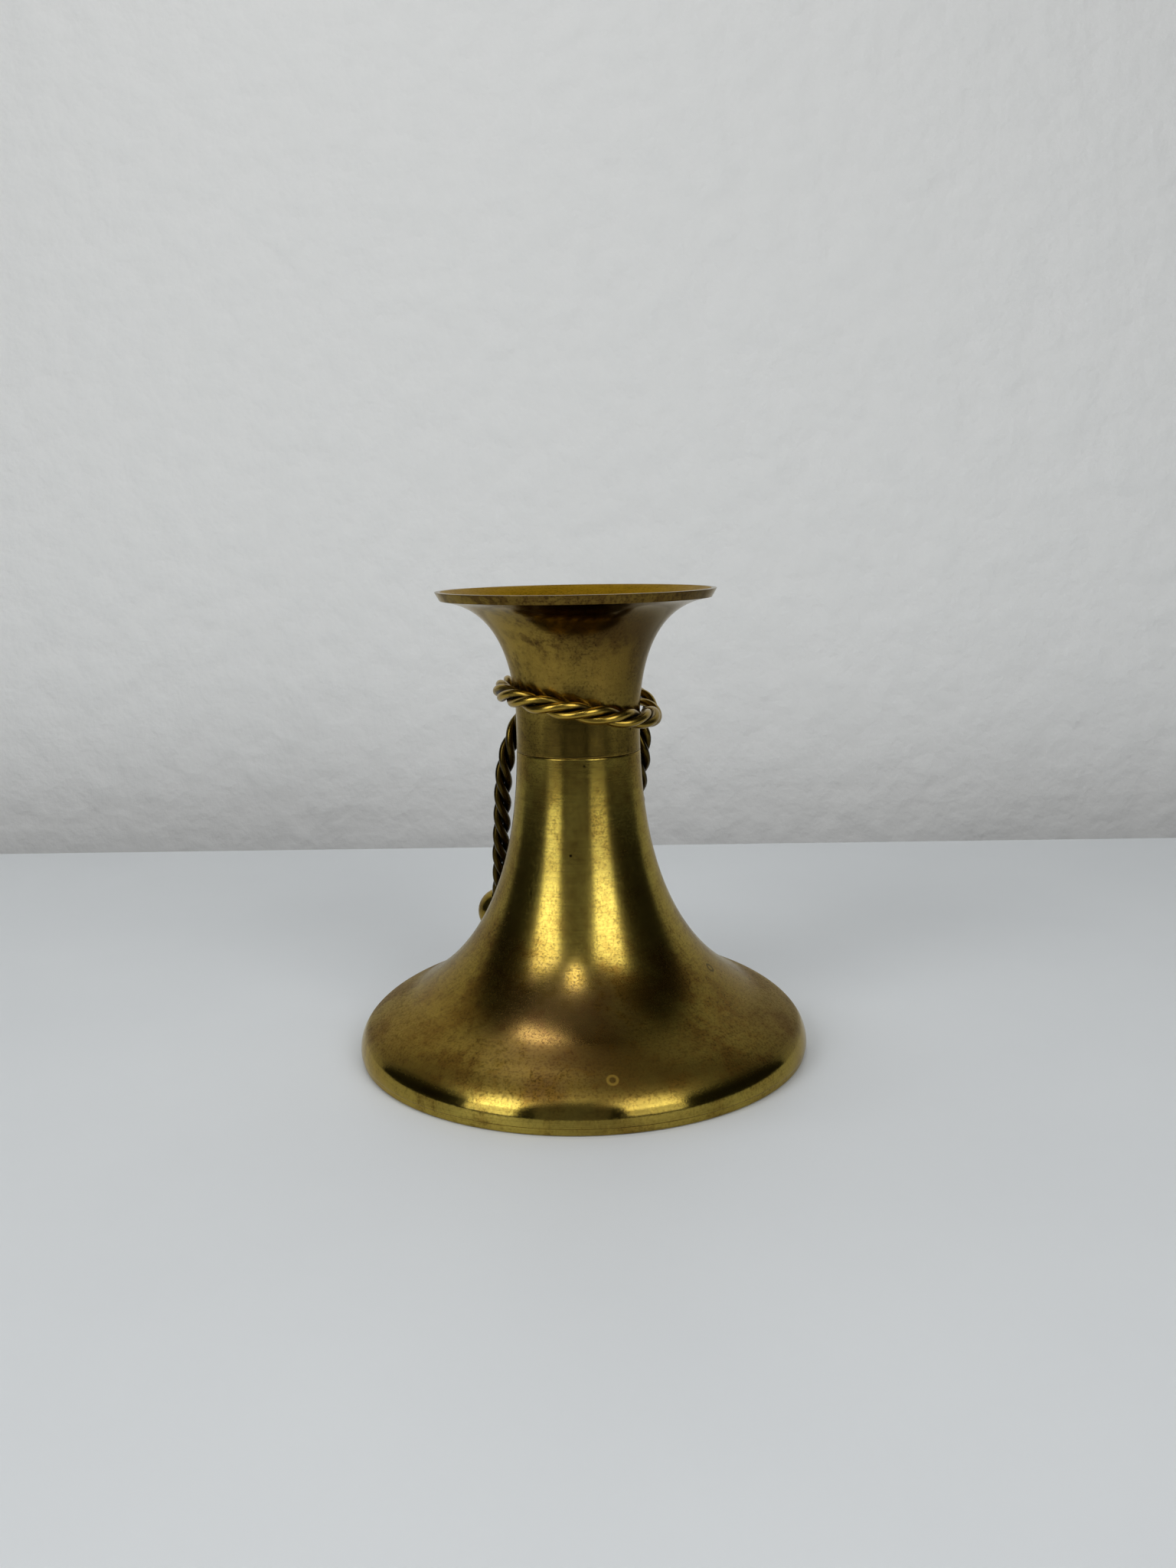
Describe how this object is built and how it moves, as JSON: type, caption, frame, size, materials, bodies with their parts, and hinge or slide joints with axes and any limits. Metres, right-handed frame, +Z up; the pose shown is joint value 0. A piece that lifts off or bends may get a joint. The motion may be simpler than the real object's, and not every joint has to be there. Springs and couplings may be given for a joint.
{
  "type": "candle holder",
  "caption": "Trumpet-shaped brass candle holder: a flared cup screwed on a hollow bell foot, with a twisted wire rope tied round the neck and ending in balls.",
  "frame": {"origin": "centre of the base, on the table", "axes": "+Z up along the holder's axis, out of the candle socket; the front of the picture faces -Y"},
  "size_m": [0.0982, 0.0982, 0.1],
  "materials": {
    "foot_brass": "polished, aged and stained",
    "cup_brass": "satin, browned",
    "steel": "plain",
    "rope_brass": "satin, dark in the grooves",
    "ball_brass": "polished"
  },
  "bodies": {
    "holder": {"bell_foot": "foot_brass", "candle_cup": "cup_brass", "cup_screw": "steel", "cup_washer": "steel"},
    "rope": {"rope_wire_1": "rope_brass", "rope_wire_2": "rope_brass", "rope_wire_3": "rope_brass", "left_tail_ball": "ball_brass", "right_tail_ball": "ball_brass"}
  },
  "joints": [
    {"name": "rope_turn", "type": "hinge", "parent": "holder", "child": "rope", "pos_m": [0, 0, 0], "axis": [0, 0, 1], "continuous": true}
  ]
}
